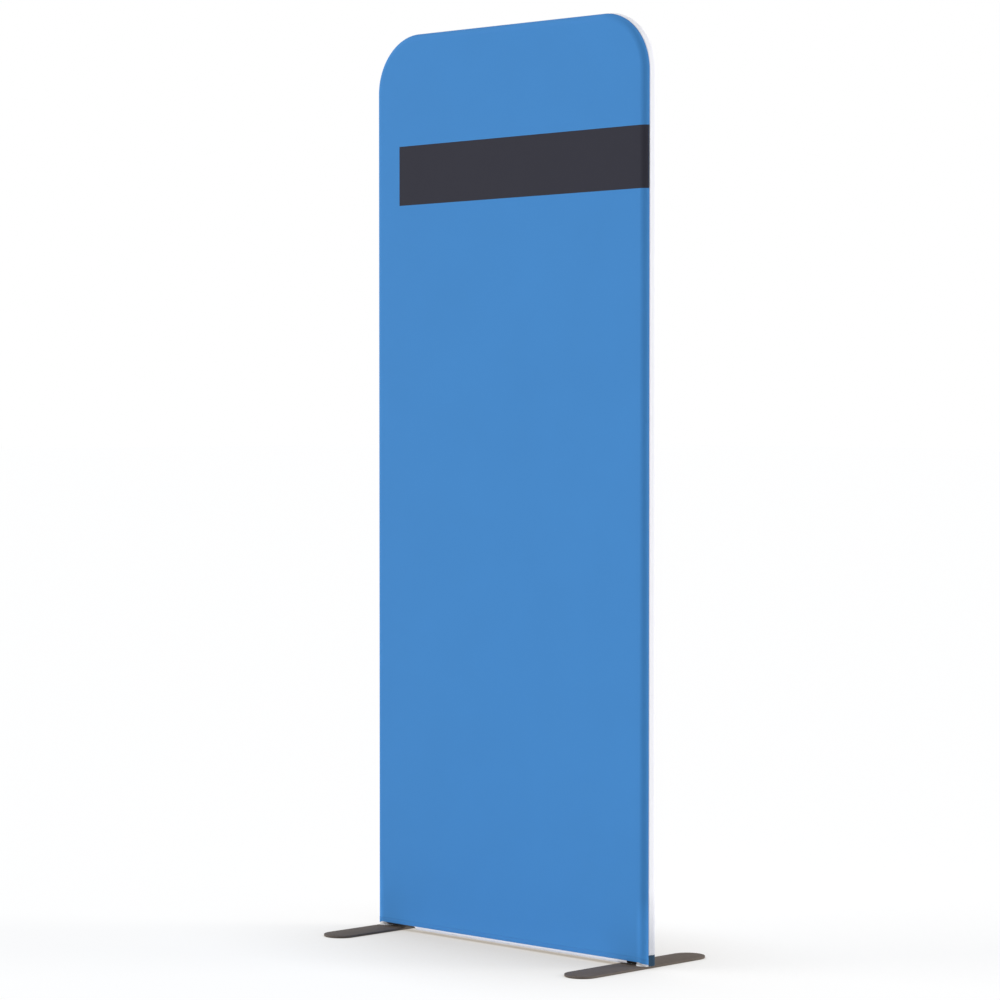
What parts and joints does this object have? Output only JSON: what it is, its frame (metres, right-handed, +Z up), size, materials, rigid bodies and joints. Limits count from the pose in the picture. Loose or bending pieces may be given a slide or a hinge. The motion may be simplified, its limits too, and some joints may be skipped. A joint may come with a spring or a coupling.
{
  "type": "modular display wall",
  "caption": "Free-standing fabric display wall with rounded top corners: a stretch cover zipped over a push-together tube frame on flat swivelling feet.",
  "frame": {"origin": "on the floor, under the middle of the wall", "axes": "+X to the right seen from the printed front, +Y to the back, +Z up"},
  "size_m": [0.82, 0.4, 2],
  "materials": {
    "tube": "satin anodised",
    "bright_steel": "bright zinc plated",
    "black_nylon": "moulded, fine spark texture",
    "white_nylon": "moulded, satin",
    "foot_grey": "warm grey powder coat, faintly brushed",
    "rubber": "matt sheet",
    "magnet": "nickel plated",
    "blue_cloth": "dye printed polyester stretch knit, mid blue with a plain charcoal band",
    "white_cloth": "unprinted polyester stretch knit",
    "zip_tape": "woven white tape",
    "zip_teeth": "light grey moulded teeth",
    "slider_metal": "nickel plated die casting"
  },
  "bodies": {
    "root": {"right_lower_upright": "tube", "right_upper_upright": "tube", "right_top_bend": "tube", "right_middle_spigot": "tube", "right_middle_button_spring": "bright_steel", "right_shoulder_spigot": "tube", "right_shoulder_button_spring": "bright_steel", "right_top_spigot": "tube", "right_top_button_spring": "bright_steel", "right_tee_button_spring": "bright_steel", "right_tee_socket": "black_nylon", "right_tee_bolt": "bright_steel", "right_foot_plug": "white_nylon", "right_lower_magnet_carrier": "black_nylon", "right_lower_magnet": "magnet", "right_upper_magnet_carrier": "black_nylon", "right_upper_magnet": "magnet", "left_lower_upright": "tube", "left_upper_upright": "tube", "left_top_bend": "tube", "left_middle_spigot": "tube", "left_middle_button_spring": "bright_steel", "left_shoulder_spigot": "tube", "left_shoulder_button_spring": "bright_steel", "left_top_spigot": "tube", "left_top_button_spring": "bright_steel", "left_tee_button_spring": "bright_steel", "left_tee_socket": "black_nylon", "left_tee_bolt": "bright_steel", "left_foot_plug": "white_nylon", "left_lower_magnet_carrier": "black_nylon", "left_lower_magnet": "magnet", "left_upper_magnet_carrier": "black_nylon", "left_upper_magnet": "magnet", "top_bar": "tube", "bottom_bar": "tube", "cover_front": "blue_cloth", "cover_back": "white_cloth", "bottom_gusset": "white_cloth", "upper_zip_tape": "zip_tape", "lower_zip_tape": "zip_tape", "upper_zip_teeth": "zip_teeth", "lower_zip_teeth": "zip_teeth"},
    "right_middle_button": {"right_middle_button": "bright_steel"},
    "right_shoulder_button": {"right_shoulder_button": "bright_steel"},
    "right_top_button": {"right_top_button": "bright_steel"},
    "right_tee_button": {"right_tee_button": "bright_steel"},
    "right_foot": {"right_foot_plate": "foot_grey", "right_foot_screw": "bright_steel", "right_foot_liner": "rubber"},
    "left_middle_button": {"left_middle_button": "bright_steel"},
    "left_shoulder_button": {"left_shoulder_button": "bright_steel"},
    "left_top_button": {"left_top_button": "bright_steel"},
    "left_tee_button": {"left_tee_button": "bright_steel"},
    "left_foot": {"left_foot_plate": "foot_grey", "left_foot_screw": "bright_steel", "left_foot_liner": "rubber"},
    "zip_slider": {"zip_slider": "slider_metal"},
    "zip_puller": {"zip_puller": "slider_metal"}
  },
  "joints": [
    {"name": "right_middle_button_press", "type": "slide", "parent": "root", "child": "right_middle_button", "axis": [1, 0, 0], "range_m": [0, 0.005], "stiffness_N_per_m": 3000, "springref_m": -0.002, "deforming": ["right_middle_button_spring"]},
    {"name": "right_shoulder_button_press", "type": "slide", "parent": "root", "child": "right_shoulder_button", "axis": [1, 0, 0], "range_m": [0, 0.005], "stiffness_N_per_m": 3000, "springref_m": -0.002, "deforming": ["right_shoulder_button_spring"]},
    {"name": "right_top_button_press", "type": "slide", "parent": "root", "child": "right_top_button", "axis": [0, 0, 1], "range_m": [0, 0.005], "stiffness_N_per_m": 3000, "springref_m": -0.002, "deforming": ["right_top_button_spring"]},
    {"name": "right_tee_button_press", "type": "slide", "parent": "root", "child": "right_tee_button", "axis": [0, 0, -1], "range_m": [0, 0.005], "stiffness_N_per_m": 3000, "springref_m": -0.002, "deforming": ["right_tee_button_spring"]},
    {"name": "right_foot_swivel", "type": "hinge", "parent": "root", "child": "right_foot", "pos_m": [0.3932, 0, 0.003], "axis": [0, 0, 1], "range_deg": [-90, 90]},
    {"name": "left_middle_button_press", "type": "slide", "parent": "root", "child": "left_middle_button", "axis": [-1, 0, 0], "range_m": [0, 0.005], "stiffness_N_per_m": 3000, "springref_m": -0.002, "deforming": ["left_middle_button_spring"]},
    {"name": "left_shoulder_button_press", "type": "slide", "parent": "root", "child": "left_shoulder_button", "axis": [-1, 0, 0], "range_m": [0, 0.005], "stiffness_N_per_m": 3000, "springref_m": -0.002, "deforming": ["left_shoulder_button_spring"]},
    {"name": "left_top_button_press", "type": "slide", "parent": "root", "child": "left_top_button", "axis": [0, 0, 1], "range_m": [0, 0.005], "stiffness_N_per_m": 3000, "springref_m": -0.002, "deforming": ["left_top_button_spring"]},
    {"name": "left_tee_button_press", "type": "slide", "parent": "root", "child": "left_tee_button", "axis": [0, 0, -1], "range_m": [0, 0.005], "stiffness_N_per_m": 3000, "springref_m": -0.002, "deforming": ["left_tee_button_spring"]},
    {"name": "left_foot_swivel", "type": "hinge", "parent": "root", "child": "left_foot", "pos_m": [-0.3932, 0, 0.003], "axis": [0, 0, 1], "range_deg": [-90, 90]},
    {"name": "zip_slider_run", "type": "slide", "parent": "root", "child": "zip_slider", "axis": [-1, 0, 0], "range_m": [0, 0.62]},
    {"name": "zip_puller_flip", "type": "hinge", "parent": "zip_slider", "child": "zip_puller", "pos_m": [0.3477, 0.0192, 0.053], "axis": [0, 0, 1], "range_deg": [-180, 0]}
  ]
}
